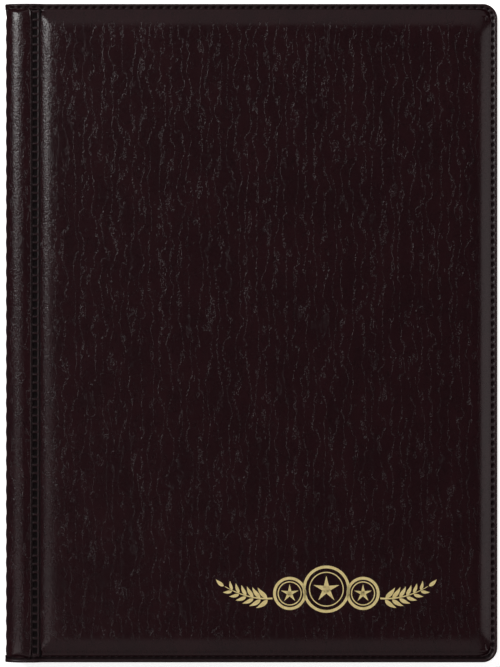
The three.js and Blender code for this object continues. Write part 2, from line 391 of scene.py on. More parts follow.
def grid_faces(rows, columns):
    """Faces of an open grid, whose points are numbered row by row."""
    index = np.arange(rows * columns).reshape(rows, columns)
    quads = np.stack([index[:-1, :-1], index[:-1, 1:], index[1:, 1:], index[1:, :-1]], axis=-1)
    return quads.reshape(-1, 4)


def shell_faces(rows, columns, offset=0, flip=False):
    """Faces of a closed sheet between two grids, the second one's points numbered after the first one's."""
    size = rows * columns
    grid = grid_faces(rows, columns)
    rim = np.concatenate([
        np.arange(columns),
        np.arange(1, rows) * columns + columns - 1,
        (rows - 1) * columns + np.arange(columns - 2, -1, -1),
        np.arange(rows - 2, 0, -1) * columns,
    ])
    after = np.roll(rim, -1)
    walls = np.stack([rim, rim + size, after + size, after], axis=-1)
    faces = offset + np.concatenate([grid, grid[:, ::-1] + size, walls])
    return faces[:, ::-1] if flip else faces


def shell(name, outer, inner, material, side, attributes=None):
    """A closed sheet between two grids of the same size."""
    rows, columns = outer.shape[:2]
    doubled = {}
    for key, value in (attributes or {}).items():
        doubled[key] = np.concatenate([value.reshape(rows * columns, -1)] * 2).squeeze()
    vertices = place(np.concatenate([outer.reshape(-1, 3), inner.reshape(-1, 3)]), side)
    return make_mesh(name, vertices, shell_faces(rows, columns), material, doubled)


def paint_groove_shade(piece):
    """Gives the faces of a weld's grooves the groove material, a copy with little gloss that paints shade
    into them, by the piece's own painted cavity shade.
    """
    mesh = piece.data
    painted_cavity_shade = np.empty(len(mesh.vertices), np.float32)
    mesh.attributes["painted_cavity_shade"].data.foreach_get("value", painted_cavity_shade)
    corners = np.empty(len(mesh.loops), np.int32)
    mesh.loops.foreach_get("vertex_index", corners)
    starts = np.empty(len(mesh.polygons), np.int32)
    mesh.polygons.foreach_get("loop_start", starts)
    counts = np.diff(np.append(starts, len(corners)))
    mean = np.add.reduceat(painted_cavity_shade[corners], starts) / counts
    mesh.materials.append(MATERIALS["groove"])
    mesh.polygons.foreach_set("material_index", (mean > GROOVE_LIMIT).astype(np.int32))


def arc_lengths(points):
    """Distance along each row of a grid, from its first column."""
    steps = np.linalg.norm(np.diff(points, axis=1), axis=-1)
    return np.concatenate([np.zeros((len(points), 1)), np.cumsum(steps, axis=1)], axis=1)


# Materials.


class Nodes:
    """A material's node tree, with a short call for each kind of node used here."""

    def __init__(self, name):
        self.material = bpy.data.materials.new(name)
        self.material.use_nodes = True
        self.tree = self.material.node_tree
        self.surface = self.tree.nodes["Principled BSDF"]

    def add(self, kind, inputs=None, **settings):
        node = self.tree.nodes.new("ShaderNode" + kind)
        for key, value in settings.items():
            setattr(node, key, value)
        for key, value in (inputs or {}).items():
            self.feed(node.inputs[key], value)
        return node

    def feed(self, socket, value):
        if isinstance(value, bpy.types.NodeSocket):
            self.tree.links.new(value, socket)
        else:
            socket.default_value = value

    def math(self, operation, *values, clamp=False):
        return self.add("Math", dict(enumerate(values)), operation=operation, use_clamp=clamp).outputs[0]

    def times(self, a, b, clamp=False):
        return self.math("MULTIPLY", a, b, clamp=clamp)

    def plus(self, a, b, clamp=False):
        return self.math("ADD", a, b, clamp=clamp)

    def attribute(self, name, output="Fac"):
        return self.add("Attribute", attribute_name=name).outputs[output]

    def scaled(self, vector, scale):
        return self.add("VectorMath", {0: vector, 1: scale}, operation="MULTIPLY").outputs[0]

    def noise(self, vector, scale, detail=3.0, roughness=0.55, distortion=0.0):
        inputs = {"Vector": vector, "Scale": scale, "Detail": detail, "Roughness": roughness}
        inputs["Distortion"] = distortion
        return self.add("TexNoise", inputs).outputs["Fac"]

    def voronoi(self, vector, scale, feature="DISTANCE_TO_EDGE"):
        node = self.add("TexVoronoi", {"Vector": vector, "Scale": scale}, feature=feature)
        return node.outputs["Distance"]

    def between(self, value, low, high, to_low=0.0, to_high=1.0):
        inputs = {"Value": value, "From Min": low, "From Max": high, "To Min": to_low, "To Max": to_high}
        return self.add("MapRange", inputs, interpolation_type="SMOOTHSTEP").outputs["Result"]

    def mix(self, factor, a, b):
        node = self.add("Mix", data_type="RGBA")
        self.feed(node.inputs[0], factor)
        self.feed(node.inputs[6], a)
        self.feed(node.inputs[7], b)
        return node.outputs[2]

    def bump(self, height, distance, strength):
        inputs = {"Height": height, "Distance": distance, "Strength": strength}
        return self.add("Bump", inputs).outputs["Normal"]

    def finish(self, **sockets):
        for key, value in sockets.items():
            self.feed(self.surface.inputs[key.replace("_", " ")], value)
        return self.material


def warped(nodes, vector, scale, amount):
    """The vector pushed about by noise, so that cells and creases wander."""
    shift = nodes.add("TexNoise", {"Vector": vector, "Scale": scale, "Detail": 2.0}).outputs["Color"]
    centred = nodes.add("VectorMath", {0: shift, 1: (0.5, 0.5, 0.5)}, operation="SUBTRACT").outputs[0]
    moved = nodes.scaled(centred, (amount, amount, 0.0))
    return nodes.add("VectorMath", {0: vector, 1: moved}, operation="ADD").outputs[0]


def creases(nodes, skin):
    """Upright creases: wandering wave lines, broken up by noise."""
    wave = {"Vector": nodes.scaled(skin, (1.0, 0.35, 1.0)), "Scale": 0.115, "Distortion": 11.0}
    wave.update({"Detail": 3.0, "Detail Scale": 2.6, "Detail Roughness": 0.6})
    lines = nodes.add("TexWave", wave, bands_direction="X").outputs["Fac"]
    broken = nodes.between(nodes.noise(skin, 1.9, 3.0, 0.65), 0.44, 0.62)
    return nodes.times(nodes.between(lines, 0.9, 1.0), broken)


def wrinkles(nodes, skin):
    """A fine net of wrinkles, in patches."""
    across = nodes.scaled(warped(nodes, skin, 0.8, 0.8), (1.0, 0.5, 1.0))
    net = nodes.between(nodes.voronoi(across, 1.5), 0.0, 0.12, 1.0, 0.0)
    return nodes.times(net, nodes.between(nodes.noise(skin, 0.4, 3.0, 0.6), 0.45, 0.62))


def leatherette():
    """Dark brown-maroon embossed vinyl, smooth where it is pulled over an edge and pebbled by the spine, with
    shade painted into its creases.
    """
    nodes = Nodes("leatherette")
    skin = nodes.attribute("skin", "Vector")
    crease = creases(nodes, skin)
    wrinkle = wrinkles(nodes, skin)
    patch = nodes.noise(nodes.scaled(skin, (1.0, 0.6, 1.0)), 0.11, 4.0, 0.65)
    sunk = nodes.plus(nodes.times(crease, 0.55), nodes.times(wrinkle, 0.16))
    sunk = nodes.times(nodes.times(sunk, nodes.attribute("grain")), nodes.between(patch, 0.3, 0.7, 0.7, 1.1))
    cells = nodes.voronoi(nodes.scaled(warped(nodes, skin, 1.5, 0.3), (1.0, 0.85, 1.0)), 2.4, "F1")
    pebbles = nodes.times(nodes.attribute("pebble"), nodes.times(cells, 1.6))
    normal = nodes.bump(nodes.plus(sunk, pebbles), -0.08 * MM, 0.9)
    cloud = nodes.between(patch, 0.35, 0.68)
    colour = nodes.mix(cloud, (0.0145, 0.004, 0.0055, 1), (0.0185, 0.0049, 0.0066, 1))
    # Painted shade: the creases and wrinkles get a darker colour, as if shade lay in the grain's hollows.
    painted_crease_shade = nodes.times(nodes.plus(crease, wrinkle), 0.4, clamp=True)
    colour = nodes.mix(painted_crease_shade, colour, (0.005, 0.0016, 0.0022, 1))
    rough = nodes.between(nodes.noise(skin, 1.1, 3.0), 0.3, 0.7, 0.19, 0.26)
    return nodes.finish(Base_Color=colour, Roughness=rough, Specular_IOR_Level=0.3, Normal=normal)


def welded_vinyl(name, specular):
    """The same vinyl melted smooth by the welding tool, darker in its grooves, where its colour paints their
    shade.
    """
    nodes = Nodes(name)
    skin = nodes.attribute("skin", "Vector")
    painted_cavity_shade = nodes.attribute("painted_cavity_shade")
    fine = nodes.noise(skin, 2.2, 4.0, 0.6)
    colour = nodes.mix(nodes.between(fine, 0.3, 0.7), (0.013, 0.0037, 0.005, 1), (0.019, 0.0052, 0.007, 1))
    # Painted shade: the colour goes nearly black where the cavity mask is high, in grooves and hollows.
    colour = nodes.mix(painted_cavity_shade, colour, (0.003, 0.0014, 0.0017, 1))
    rough = nodes.plus(nodes.between(fine, 0.3, 0.7, 0.28, 0.38), nodes.times(painted_cavity_shade, 0.25))
    normal = nodes.bump(fine, 0.03 * MM, 0.6)
    return nodes.finish(Base_Color=colour, Roughness=rough, Specular_IOR_Level=specular, Normal=normal)


def lining_vinyl():
    """Plain matt vinyl with fine pores."""
    nodes = Nodes("lining_vinyl")
    skin = nodes.attribute("skin", "Vector")
    pores = nodes.voronoi(skin, 2.6, "F1")
    cloud = nodes.noise(skin, 0.16, 4.0)
    colour = nodes.mix(nodes.between(cloud, 0.3, 0.7), (0.02, 0.0085, 0.0102, 1), (0.03, 0.012, 0.0138, 1))
    return nodes.finish(
        Base_Color=colour,
        Roughness=nodes.between(cloud, 0.3, 0.7, 0.42, 0.55),
        Specular_IOR_Level=0.4,
        Normal=nodes.bump(pores, 0.05 * MM, 0.5),
    )


def object_place(nodes):
    """The point in millimetres, so that the scales below read as cells per millimetre."""
    return nodes.scaled(nodes.add("TexCoord").outputs["Object"], (1000.0, 1000.0, 1000.0))


def greyboard():
    """Grey-brown board with long fibres and dark flecks."""
    nodes = Nodes("greyboard")
    where = object_place(nodes)
    fibres = nodes.noise(nodes.scaled(where, (0.5, 2.0, 2.0)), 1.4, 6.0, 0.7, 1.5)
    flecks = nodes.between(nodes.noise(where, 1.7, 2.0), 0.66, 0.72)
    colour = nodes.mix(fibres, (0.2, 0.17, 0.135, 1), (0.36, 0.32, 0.26, 1))
    colour = nodes.mix(flecks, colour, (0.12, 0.1, 0.085, 1))
    return nodes.finish(Base_Color=colour, Roughness=0.88, Normal=nodes.bump(fibres, 0.12 * MM, 0.6))


def foam():
    """Pale open-cell foam."""
    nodes = Nodes("foam")
    where = object_place(nodes)
    cells = nodes.voronoi(where, 2.4, "F1")
    colour = nodes.mix(cells, (0.78, 0.75, 0.67, 1), (0.55, 0.52, 0.45, 1))
    return nodes.finish(Base_Color=colour, Roughness=0.95, Normal=nodes.bump(cells, 0.2 * MM, 0.8))


def binding_vinyl():
    """Milky vinyl with drawn streaks."""
    nodes = Nodes("binding_vinyl")
    where = object_place(nodes)
    streaks = nodes.noise(nodes.scaled(where, (1.0, 0.05, 1.0)), 1.6, 4.0)
    colour = nodes.mix(streaks, (0.6, 0.63, 0.64, 1), (0.78, 0.8, 0.8, 1))
    return nodes.finish(
        Base_Color=colour,
        Roughness=nodes.between(streaks, 0.3, 0.7, 0.22, 0.38),
        Alpha=0.8,
        Normal=nodes.bump(streaks, 0.05 * MM, 0.5),
    )


def clear_film():
    """Thin clear film: a pale veil, a painted reflection, thickens where it is seen edge-on, and its cut
    edges are nearly solid.
    """
    nodes = Nodes("clear_film")
    where = object_place(nodes)
    ripple = nodes.noise(nodes.scaled(where, (0.05, 0.015, 1.0)), 1.0, 3.0, 0.5, 0.5)
    haze = nodes.noise(where, 0.08, 4.0)
    normal = nodes.add("TexCoord").outputs["Normal"]
    facing_up = nodes.add("SeparateXYZ", {"Vector": normal}).outputs["Z"]
    cut_edge = nodes.between(nodes.math("ABSOLUTE", facing_up), 0.3, 0.7, 0.7, 0.0)
    # Painted reflection: the pale veil thickens toward edge-on views, where the film would mirror more.
    painted_grazing_reflection = nodes.math("POWER", nodes.add("LayerWeight", {"Blend": 0.5}).outputs["Facing"], 3.0)
    haze_and_reflection_veil = nodes.plus(nodes.between(haze, 0.25, 0.75, 0.05, 0.08), nodes.times(painted_grazing_reflection, 0.4))
    colour = nodes.mix(haze, (0.76, 0.8, 0.82, 1), (0.86, 0.88, 0.89, 1))
    return nodes.finish(
        Base_Color=colour,
        Roughness=nodes.between(haze, 0.3, 0.7, 0.1, 0.2),
        Alpha=nodes.plus(haze_and_reflection_veil, cut_edge, clamp=True),
        Specular_IOR_Level=0.6,
        Normal=nodes.bump(ripple, 0.6 * MM, 0.35),
    )


def film_weld():
    """Where two films are welded: frosted by the fine ribs of the tool."""
    nodes = Nodes("film_weld")
    where = object_place(nodes)
    turned = nodes.add("VectorRotate", {"Vector": where, "Axis": (0, 0, 1), "Angle": math.pi / 4}).outputs[0]
    wave = {"Vector": turned, "Scale": 0.5, "Distortion": 0.6}
    ribs = nodes.add("TexWave", wave, bands_direction="X").outputs["Fac"]
    frost = nodes.noise(where, 0.5, 4.0)
    return nodes.finish(
        Base_Color=nodes.mix(ribs, (0.7, 0.74, 0.76, 1), (0.88, 0.9, 0.91, 1)),
        Roughness=nodes.between(frost, 0.3, 0.7, 0.3, 0.45),
        Alpha=nodes.plus(nodes.times(ribs, 0.15), nodes.between(frost, 0.3, 0.7, 0.28, 0.4)),
        Normal=nodes.bump(ribs, 0.06 * MM, 0.8),
    )


def gold_foil():
    """Stamped foil: it follows the vinyl's grain and is a little patchy."""
    nodes = Nodes("gold_foil")
    where = object_place(nodes)
    grain = nodes.noise(where, 2.6, 4.0, 0.6)
    wear = nodes.noise(where, 0.9, 5.0, 0.7)
    colour = nodes.mix(nodes.between(wear, 0.3, 0.7), (0.8, 0.65, 0.27, 1), (0.95, 0.8, 0.38, 1))
    return nodes.finish(
        Base_Color=colour,
        Metallic=0.2,
        Roughness=nodes.between(grain, 0.3, 0.7, 0.4, 0.55),
        Normal=nodes.bump(grain, 0.05 * MM, 0.6),
    )


MATERIALS = {
    "skin": leatherette(),
    "weld": welded_vinyl("welded_vinyl", 0.32),
    # A copy of the weld material with little gloss, for shade painted into the grooves.
    "groove": welded_vinyl("welded_vinyl_painted_groove_shade", 0.07),
    "lining": lining_vinyl(),
    "board": greyboard(),
    "foam": foam(),
    "binding": binding_vinyl(),
    "film": clear_film(),
    "film_weld": film_weld(),
    "foil": gold_foil(),
}


# Pieces of the covers.


def make_skin(side):
    """Half of the outer vinyl, from the middle of the spine over a cover, bending at the fold."""
    outer = skin_points(0.0)
    inner = skin_points(VINYL)
    x, y = outer[..., 0], outer[..., 1]
    along = skin_place(arc_lengths(outer), y, SKIN_LAYERS[side])
    away = smooth((edge_distance(x, y) - 3.2 * MM) / (4.5 * MM))
    spine_side = smooth((PANEL_EDGE + 8 * MM - x) / (4 * MM))
    ends = smooth((HEAD - np.abs(y) - 1.5 * MM) / (5 * MM))
    grain = np.maximum(0.1 + 0.9 * away, 0.2 * spine_side * ends)
    pebble = np.maximum(0.04 + 0.06 * away, spine_side * (0.12 + 0.26 * ends))
    attributes = {"skin": along, "grain": grain, "pebble": pebble}
    piece = shell(f"{side}_skin", outer, inner, MATERIALS["skin"], side, attributes)
    nodes = (f"{side}_cover_skin", f"{side}_fold") + (("spine_skin",) if side == "front" else ())
    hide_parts(*nodes)
    bend_with_skin(piece, side)


def make_ladder_weld(side):
    """The weld beside the panel: two rails joined by rungs, in the skin's groove and up the panel's foot."""
    x = spread((WELD_LEFT - 0.1 * MM, RAMP_START + 0.35 * MM, 0.13 * MM))
    y = spread((-HEAD + 1.6 * MM, HEAD - 1.6 * MM, RUNG_PITCH / 9))
    xx, yy = np.meshgrid(x, y)
    phase = np.cos(math.tau * yy / RUNG_PITCH)
    rung = smooth((phase - 0.35) / 0.5)
    between = smooth((xx - RAIL_LEFT) / (0.5 * MM)) * smooth((RAIL_RIGHT - xx) / (0.5 * MM))
    left = bump_at(xx, RAIL_LEFT, RAIL_WIDTH)
    right = bump_at(xx, RAIL_RIGHT, RAIL_WIDTH) * (0.45 + 0.55 * (1 - rung))
    height = RAIL_HEIGHT * left + 0.9 * RAIL_HEIGHT * right + RUNG_HEIGHT * rung * between
    bed = np.where(xx > RAIL_RIGHT, section_heights(xx), WELD_FLOOR)
    edge = smooth(np.minimum(xx - x[0], x[-1] - xx) / (0.2 * MM))
    sheet = bed + 0.05 * MM - 0.1 * MM * (1 - edge)
    outer = np.stack([xx, yy, sheet + height], axis=-1)
    inner = np.stack([xx, yy, np.full_like(xx, WELD_FLOOR - 0.25 * MM)], axis=-1)
    # Painted shade: the cavity mask darkens the cells between the rungs, the floor beside the rails, and a
    # line at the ramp's foot standing in for an undercut's shadow.
    crease = smooth((xx - RAIL_RIGHT - 0.15 * MM) / (0.15 * MM))
    hollow_shade = between * (0.8 - 0.7 * rung) + 0.25 * (1 - left) * (1 - right) * (1 - rung)
    kept = {"skin": skin_place(xx, yy), "painted_cavity_shade": np.clip(hollow_shade + crease, 0, 1)}
    piece = shell(f"{side}_ladder_weld", outer, inner, MATERIALS["weld"], side, kept)
    paint_groove_shade(piece)
    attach(piece, f"{side}_cover")


def edge_path():
    """The outline from the spine's head end round the fore edge to its tail end: points, inward normals."""
    step = KNURL_PITCH / 7
    head_x = spread((SPINE_TIP + 0.1 * MM, FORE - CORNER_R, step))
    angles = np.linspace(math.pi / 2, 0, int(CORNER_R * math.pi / 2 / step) + 2)[1:-1]
    out = np.stack([np.cos(angles), np.sin(angles)], axis=-1)
    corner = np.array((FORE - CORNER_R, HEAD - CORNER_R)) + CORNER_R * out
    fore_y = spread((HEAD - CORNER_R, -HEAD + CORNER_R, step))
    head = np.stack([head_x, np.full_like(head_x, HEAD)], axis=-1)
    fore = np.stack([np.full_like(fore_y, FORE), fore_y], axis=-1)
    over = np.array((1, -1))
    points = np.concatenate([head, corner, fore, corner[::-1] * over, head[::-1] * over])
    inward = np.concatenate([
        np.tile((0, -1), (len(head), 1)),
        -out,
        np.tile((-1, 0), (len(fore), 1)),
        -out[::-1] * over,
        np.tile((0, 1), (len(head), 1)),
    ])
    return points, inward


def bend_with_skin(piece, side):
    """Bakes the piece's placement into its mesh. The fold's ends are worked out, and nothing uses them."""
    start, end = place([(SPINE_FACE, 0.0, FOLD_BASE), (STRIP_EDGE, 0.0, OUTSIDE)], side)
    if side == "front":
        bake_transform(piece)
    else:
        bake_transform(piece)


def make_edge_weld(side):
    """The weld all round: a bead at the very edge and a knurled groove inside it."""
    points, inward = edge_path()
    steps = np.linalg.norm(np.diff(points, axis=0), axis=-1)
    along = np.concatenate([[0], np.cumsum(steps)])
    across = spread((0, EDGE_WELD, 0.15 * MM))
    wide = WIDE_WELD + (1 - WIDE_WELD) * np.clip(-inward[:, 1], 0, 1)
    place_xy = points[:, None, :] + inward[:, None, :] * across[None, :, None] * wide[:, None, None]
    # The knurl is 1 where the groove is sunk and 0 on the lands between.
    knurl = smooth((np.cos(math.tau * along / KNURL_PITCH) + 0.25) / 0.6)
    faint = 1 - TAIL_FAINT * np.clip(inward[:, 1], 0, 1)
    knurl = (1 - faint * (1 - knurl))[:, None]
    bead = BEAD_HEIGHT * bump_at(across, BEAD_CENTRE, BEAD_WIDTH)[None, :]
    groove = bump_at(across, GROOVE_CENTRE, GROOVE_WIDTH)[None, :]
    lift = 0.08 * MM * smooth((EDGE_WELD - across) / (0.25 * MM))[None, :] - 0.03 * MM
    strip = smooth((PANEL_EDGE + 1.6 * MM - place_xy[..., 0]) / (3 * MM))
    t = np.clip((STRIP_CROWN - place_xy[..., 0]) / (STRIP_CROWN - SPINE_TIP), 0, 0.985)
    strip_top = fold_height(t) - STRIP_END_DROP - PINCH_DROP
    base = FLANGE_TOP + (strip_top - FLANGE_TOP) * strip
    marks = groove * (KNURL_LAND * (1 - knurl) - GROOVE_DEPTH * knurl)
    z = base + lift + bead * (0.8 + 0.2 * knurl) + marks
    outer = np.concatenate([place_xy, z[..., None]], axis=-1)
    low = np.maximum(base - 0.55 * MM, np.minimum(LINING_TOP + CLEARANCE, base - 0.2 * MM))
    inner = np.concatenate([place_xy, low[..., None]], axis=-1)
    # Painted shade: the cavity mask darkens the groove, most where the knurl is sunk.
    kept = {"skin": skin_place(place_xy[..., 0], place_xy[..., 1]), "painted_cavity_shade": groove * (0.45 + 0.55 * knurl)}
    piece = shell(f"{side}_edge_weld", outer, inner, MATERIALS["weld"], side, kept)
    paint_groove_shade(piece)
    bend_with_skin(piece, side)


def make_lining(side):
    """The inner sheet: flat over the board, a pressed line round it, rising to the strip by the spine."""
    x = spread(
        (STRIP_EDGE - 0.2 * MM, PANEL_EDGE + 1.5 * MM, 0.35 * MM),
        (PANEL_EDGE + 1.5 * MM, FORE - 4 * MM, 2.2 * MM),
        (FORE - 4 * MM, FORE - 0.15 * MM, 0.28 * MM),
    )
    y = mirrored(spread((0, HEAD - 6 * MM, 2.2 * MM), (HEAD - 6 * MM, HEAD - 0.15 * MM, 0.28 * MM)))
    xx = drawn_in(x, y)
    yy = np.repeat(y[:, None], len(x), axis=1)
    strip_level = WELD_FLOOR - 0.4 * MM
    climb = smooth((PANEL_EDGE + 0.4 * MM - xx) / (2.2 * MM))
    level = INSIDE + (strip_level - INSIDE) * climb
    pressed = bump_at(edge_distance(xx, yy), 1.9 * MM, 0.35 * MM) * (1 - climb)
    under = np.stack([xx, yy, level + 0.09 * MM * pressed], axis=-1)
    over = np.stack([xx, yy, level + 0.26 * MM], axis=-1)
    kept = {"skin": skin_place(xx, yy, LINING_LAYER)}
    piece = shell(f"{side}_inner_lining", over, under, MATERIALS["lining"], side, kept)
    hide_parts(f"{side}_lining")
    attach(piece, f"{side}_cover")


def make_foam(side):
    """The thin foam pad over the board, crowned and rounded off at its edges."""
    low, high = FOAM_LOW, FOAM_HIGH
    inset = 0.4 * MM
    border = 6 * MM
    fine = 0.7 * MM
    x = spread(
        (low[0] + inset, low[0] + border, fine),
        (low[0] + border, high[0] - border, border),
        (high[0] - border, high[0] - inset, fine),
    )
    y = mirrored(spread((0, high[1] - border, border), (high[1] - border, high[1] - inset, fine)))
    xx, yy = np.meshgrid(x, y)
    gap = np.minimum(np.minimum(xx - x[0], x[-1] - xx), y[-1] - np.abs(yy))
    thickness = (high[2] - low[2]) * (0.35 + 0.65 * ease(gap / (4 * MM)))
    bottom = low[2] - MIDDLE + 0.01 * MM
    over = np.stack([xx, yy, bottom + thickness - 0.02 * MM], axis=-1)
    under = np.stack([xx, yy, np.full_like(xx, bottom)], axis=-1)
    piece = shell(f"{side}_foam", over, under, MATERIALS["foam"], side)
    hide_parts(f"{side}_foam_pad")
    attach(piece, f"{side}_cover")


def make_spine_bead():
    """The scalloped weld bead down the middle of the spine, which closes the two halves of the skin."""
    rows = spread((-HEAD + 1.0 * MM, HEAD - 1.0 * MM, SCALLOP_PITCH / 14))
    around = np.linspace(-1, 1, 11)
    tt, yy = np.meshgrid(around, rows)
    swell = np.abs(np.sin(math.pi * (yy - rows[0]) / SCALLOP_PITCH)) ** 0.7
    proud = SPINE_FACE - SPINE_TIP
    profile = np.sqrt(np.clip(1 - tt**2, 0, 1))
    x = SPINE_FACE - proud * profile * (0.12 + 0.88 * swell)
    z = tt * SCALLOP_HALF_WIDTH * (0.75 + 0.25 * swell)
    outer = np.stack([x, yy, z], axis=-1)
    inner = np.stack([np.full_like(x, SPINE_FACE + 0.25 * MM), yy, z], axis=-1)
    # Painted shade: the cavity mask darkens the dips between the scallops.
    kept = {"skin": skin_place(z, yy, SPINE_LAYER), "painted_cavity_shade": (1 - swell) * 0.8}
    piece = shell("spine_bead", outer, inner, MATERIALS["weld"], "front", kept)
    paint_groove_shade(piece)
    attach(piece, "spine")


# The foil ornament.


def stroke(points, widths):
    """Left and right edges of a pen stroke through points, with the nib's width at each."""
    points = np.asarray(points, float)
    direction = np.gradient(points, axis=0)
    direction /= np.maximum(np.linalg.norm(direction, axis=1, keepdims=True), 1e-9)
    normal = np.stack([-direction[:, 1], direction[:, 0]], axis=-1)
    half = np.asarray(widths)[:, None] / 2
    return points + normal * half, points - normal * half


def ring_stroke(centre, radius, width):
    """A full circle, its ends meeting."""
    angles = np.linspace(0, math.tau, 72)
    points = np.array(centre) + radius * np.stack([np.cos(angles), np.sin(angles)], axis=-1)
    return stroke(points, np.full(len(points), width))


def leaf_stroke(heading, length, width):
    """A slender leaf from the origin: a short curved stroke, widest a little before its middle."""
    t = np.linspace(0, 1, 10)
    bend = heading + 0.5 * (t - 0.3)
    points = np.cumsum(np.stack([np.cos(bend), np.sin(bend)], axis=-1), axis=0) * length / len(t)
    return stroke(points, width * np.sin(math.pi * t**0.7) + 0.04 * MM)


def set_on_stem(edges, side, x, y):
    """A leaf drawn from the origin, put on its stem and mirrored on the left. The left edge stays first."""
    left, right = (edge * (side, 1) + (x, y) for edge in edges)
    return (left, right) if side > 0 else (right, left)


def sprig_strokes(root, side, length, rise):
    """A sprig of leaf pairs that runs out from the coins and rises at its tip."""
    t = np.linspace(0, 1, 40)
    stem_x = root[0] + side * length * t
    stem_y = root[1] + rise * (t**2 - 0.25 * t)
    strokes = [stroke(np.stack([stem_x, stem_y], axis=-1), 0.5 * MM * (1 - 0.7 * t))]
    for k in range(LEAF_PAIRS):
        at = 0.08 + 0.15 * k
        x, y = np.interp(at, t, stem_x), np.interp(at, t, stem_y)
        size = 4.6 * MM * (1 - 0.45 * at)
        lean = rise * (2 * at - 0.25) / length
        for up in (-1, 1):
            heading = lean + up * 0.72
            leaf = leaf_stroke(heading, size, 1.25 * MM * (1 - 0.4 * at))
            strokes.append(set_on_stem(leaf, side, x, y))
    tip = leaf_stroke(rise * 1.75 / length, 3.2 * MM, 1.0 * MM)
    strokes.append(set_on_stem(tip, side, stem_x[-1], stem_y[-1]))
    return strokes


def coin_strokes(centre, radius):
    """A coin: a broad rim, a thin ring inside it and a star of five rays."""
    strokes = [ring_stroke(centre, radius, 0.8 * MM), ring_stroke(centre, radius * 0.76, 0.3 * MM)]
    for k in range(5):
        angle = (k + 0.25) * math.tau / 5
        tip = np.array([math.cos(angle), math.sin(angle)])
        ray = np.array([centre + tip * radius * r for r in np.linspace(0.0, 0.6, 8)])
        strokes.append(stroke(ray, radius * 0.3 * np.linspace(1, 0.03, 8)))
    return strokes


def ornament_strokes():
    """Three coins between two leafy sprigs."""
    strokes = coin_strokes((ORNAMENT_X, ORNAMENT_Y), BIG_COIN)
    for side in (-1, 1):
        strokes += coin_strokes((ORNAMENT_X + side * COIN_SPACING, ORNAMENT_Y - SIDE_COIN_DROP), SMALL_COIN)
    for side in (-1, 1):
        root = (ORNAMENT_X + side * SPRIG_START, ORNAMENT_Y - SPRIG_DROP)
        strokes += sprig_strokes(root, side, SPRIG_LENGTH, SPRIG_RISE)
    return strokes


def make_ornament():
    """Flat foil on the panel's crown, at the lower fore corner."""
    vertices, faces = [], []
    for left, right in ornament_strokes():
        base = len(vertices)
        count = len(left)
        for level in (FOIL_LIFT, -FOIL_SUNK):
            for edge in (left, right):
                x, y = edge.T
                vertices.extend(np.stack([x, y, panel_height(x, y) - waviness(x, y) + level], axis=-1))
        top_left, top_right, low_left, low_right = (base + k * count + np.arange(count) for k in range(4))
        round_section = (top_left, top_right, low_right, low_left, top_left)
        for a, b in zip(round_section, round_section[1:]):
            faces.extend(np.stack([a[:-1], b[:-1], b[1:], a[1:]], axis=-1))
        faces.append([top_left[0], low_left[0], low_right[0], top_right[0]])
        faces.append([top_left[-1], top_right[-1], low_right[-1], low_left[-1]])
    placed = place(vertices, "front")
    piece = make_mesh("foil_ornament", placed, faces, MATERIALS["foil"], shade_smooth=False)
    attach(piece, "front_cover")


# Leaves.


def make_leaf_edge(leaf):
    """The welded edge where a leaf bends at its rib."""
    low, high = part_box(f"leaf_{leaf}_back_film")
    pocket_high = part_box(f"leaf_{leaf}_pocket_film")[1]
    hinge_x = low[0]
    middle = (low[2] + pocket_high[2]) / 2
    x = hinge_x + spread((RIB_LEFT, RIB_RIGHT, 0.13 * MM))
    y = spread((low[1] + 0.3 * MM, high[1] - 0.3 * MM, RIB_PITCH / 2))
    xx, yy = np.meshgrid(x, y)
    t = (xx - x[0]) / (x[-1] - x[0]) * 2 - 1
    crown = np.sqrt(np.clip(1 - t**2, 0, 1))
    half = RIB_EDGE + RIB_CROWN * crown * (0.85 + 0.15 * np.cos(math.tau * yy / RIB_PITCH))
    over = np.stack([xx, yy, middle - MIDDLE + half], axis=-1)
    under = np.stack([xx, yy, middle - MIDDLE - half], axis=-1)
    piece = shell(f"leaf_{leaf}_weld", over, under, MATERIALS["binding"], "front")
    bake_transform(piece)


def seam_lines():
    """The middle lines of the pocket welds, in plan: each one's points and the direction across it."""
    half = POCKET_WELD / 2
    up_y = spread((-GRID_HALF_HEIGHT - half, GRID_HALF_HEIGHT + half, SEAM_STEP))
    for x in np.linspace(GRID_SPINE_EDGE, GRID_FORE_EDGE, COLUMNS + 1):
        yield np.stack([np.full_like(up_y, x), up_y], axis=-1), np.array((half, 0.0))
    along_x = spread((GRID_SPINE_EDGE + half, GRID_FORE_EDGE - half, SEAM_STEP))
    for y in np.linspace(-GRID_HALF_HEIGHT, GRID_HALF_HEIGHT, ROWS + 1):
        yield np.stack([along_x, np.full_like(along_x, y)], axis=-1), np.array((0.0, half))


def make_leaf_seams(leaf):
    """The grid of welds round the pockets, slightly proud of both films."""
    low_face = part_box(f"leaf_{leaf}_back_film")[0][2]
    high_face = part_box(f"leaf_{leaf}_pocket_film")[1][2]
    across = np.linspace(-1, 1, 5)
    crown = (1 - across**2) * SEAM_PROUD
    vertices, faces = [], []
    for line, sideways in seam_lines():
        plan = line[:, None, :] + across[None, :, None] * sideways
        rows, columns = plan.shape[:2]
        for up, face in ((1, high_face), (-1, low_face)):
            base = len(vertices)
            for height in (face + up * crown, np.full(columns, face - up * SEAM_SUNK)):
                z = np.broadcast_to(height, (rows, columns))
                vertices.extend(np.concatenate([plan, z[..., None]], axis=-1).reshape(-1, 3))
            faces.extend(shell_faces(rows, columns, base, flip=(up > 0) != (sideways[0] > 0)))
    piece = make_mesh(f"leaf_{leaf}_seams", vertices, faces, MATERIALS["film_weld"])
    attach(piece, f"leaf_{leaf}")


